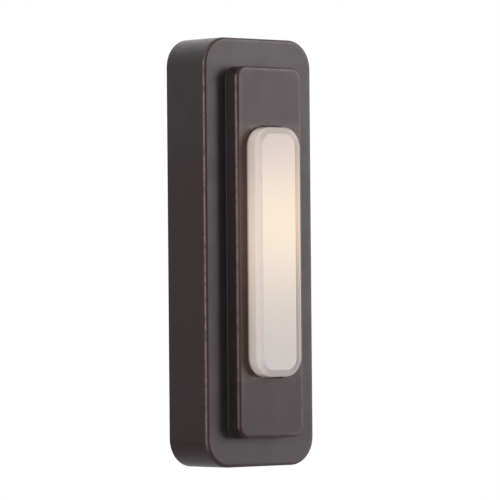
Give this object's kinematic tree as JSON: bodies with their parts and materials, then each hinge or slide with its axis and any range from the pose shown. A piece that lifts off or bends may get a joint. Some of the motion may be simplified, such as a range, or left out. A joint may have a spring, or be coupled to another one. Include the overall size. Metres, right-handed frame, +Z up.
{
  "type": "doorbell push button",
  "caption": "Surface-mounted lighted doorbell push button: two-tier cast housing with a tall bevelled translucent button on return springs over a tactile switch, on a slotted wall plate.",
  "frame": {"origin": "centre of the back face, in the plane of the wall, midway between the two wall screws", "axes": "+X to the right as seen from the front, +Y into the wall, +Z up along the tall side; the button faces -Y"},
  "size_m": [0.035, 0.0215, 0.105],
  "materials": {
    "bronze_finish": "dark oil-rubbed bronze, satin, copper showing at worn edges",
    "lit_lens": "translucent white moulding, lit warm from inside",
    "black_nylon": "moulded, fine texture",
    "zinc_plated_steel": "bright zinc plated",
    "board_laminate": "green solder mask",
    "switch_moulding": "moulded",
    "switch_sheet": "tinned sheet",
    "plunger_moulding": "moulded",
    "spring_steel": "bright",
    "tinned_wire": "tinned",
    "lamp_epoxy": "clear epoxy over a warm chip",
    "resistor_lacquer": "lacquered",
    "diode_moulding": "moulded",
    "terminal_brass": "stamped, bright",
    "plate_steel": "zinc plated, pressed",
    "bronzed_screw": "dark bronze"
  },
  "bodies": {
    "housing": {"tiered_housing": "bronze_finish", "button_carrier": "black_nylon", "carrier_screws": "zinc_plated_steel", "circuit_board": "board_laminate", "board_screws": "zinc_plated_steel", "switch_base": "switch_moulding", "switch_cover": "switch_sheet", "switch_dome": "spring_steel", "switch_pins": "tinned_wire", "led_lamp": "lamp_epoxy", "led_leads": "tinned_wire", "led_resistor": "resistor_lacquer", "rectifier_diodes": "diode_moulding", "terminal_plate_left": "terminal_brass", "terminal_plate_right": "terminal_brass", "terminal_screws": "zinc_plated_steel", "return_spring_top": "spring_steel", "return_spring_bottom": "spring_steel", "back_plate": "plate_steel", "set_screw": "bronzed_screw"},
    "button": {"push_button": "lit_lens"},
    "plunger": {"switch_plunger": "plunger_moulding"}
  },
  "joints": [
    {"name": "button_press", "type": "slide", "parent": "housing", "child": "button", "axis": [0, 1, 0], "range_m": [0, 0.0008], "stiffness_N_per_m": 1000, "springref_m": -0.001, "deforming": ["return_spring_top", "return_spring_bottom"]},
    {"name": "plunger_press", "type": "slide", "parent": "housing", "child": "plunger", "axis": [0, 1, 0], "range_m": [0, 0.0008], "stiffness_N_per_m": 40, "springref_m": -0.0005, "deforming": ["switch_dome"]}
  ],
  "couplings": [
    {"joint": "plunger_press", "follows": "button_press", "ratio": 1}
  ]
}
